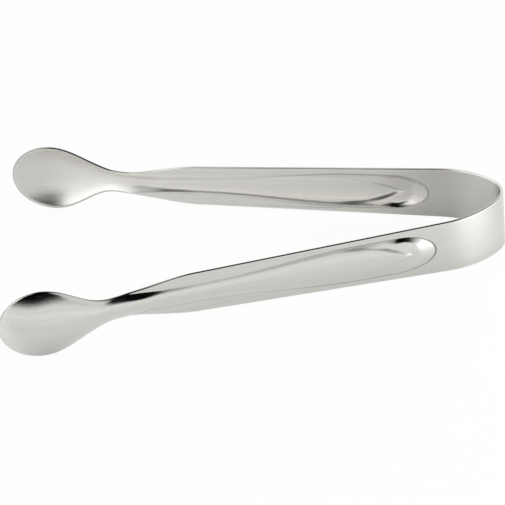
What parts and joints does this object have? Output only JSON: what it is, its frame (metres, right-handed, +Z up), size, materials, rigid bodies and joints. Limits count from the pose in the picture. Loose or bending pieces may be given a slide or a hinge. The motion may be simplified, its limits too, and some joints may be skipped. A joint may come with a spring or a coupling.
{
  "type": "sugar tongs",
  "caption": "Bow-shaped sugar tongs in polished stainless steel, with a ribbed arm on each side and small spoon ends that close on a sugar lump.",
  "frame": {"origin": "bottom centre of the bounding box: level with the lower rims of the two bowls, midway between the arms, halfway along the length", "axes": "+X runs lengthwise towards the bow, +Y towards the rear arm, +Z up, across the width of the strip"},
  "size_m": [0.1142, 0.067, 0.017],
  "materials": {
    "polished_steel": "polished"
  },
  "bodies": {
    "bow": {"bow": "polished_steel"},
    "front_side": {"front_shoulder": "polished_steel", "front_arm": "polished_steel", "front_bowl": "polished_steel"},
    "rear_side": {"rear_shoulder": "polished_steel", "rear_arm": "polished_steel", "rear_bowl": "polished_steel"}
  },
  "joints": [
    {"name": "front_squeeze", "type": "hinge", "parent": "bow", "child": "front_side", "pos_m": [0.05512, -0.00374, 0.0085], "axis": [0, 0, -1], "range_deg": [0, 15.5], "stiffness_Nm_per_rad": 1},
    {"name": "rear_squeeze", "type": "hinge", "parent": "bow", "child": "rear_side", "pos_m": [0.05512, 0.00374, 0.0085], "axis": [0, 0, 1], "range_deg": [0, 15.5], "stiffness_Nm_per_rad": 1}
  ],
  "couplings": [
    {"joint": "rear_squeeze", "follows": "front_squeeze", "ratio": 1}
  ]
}
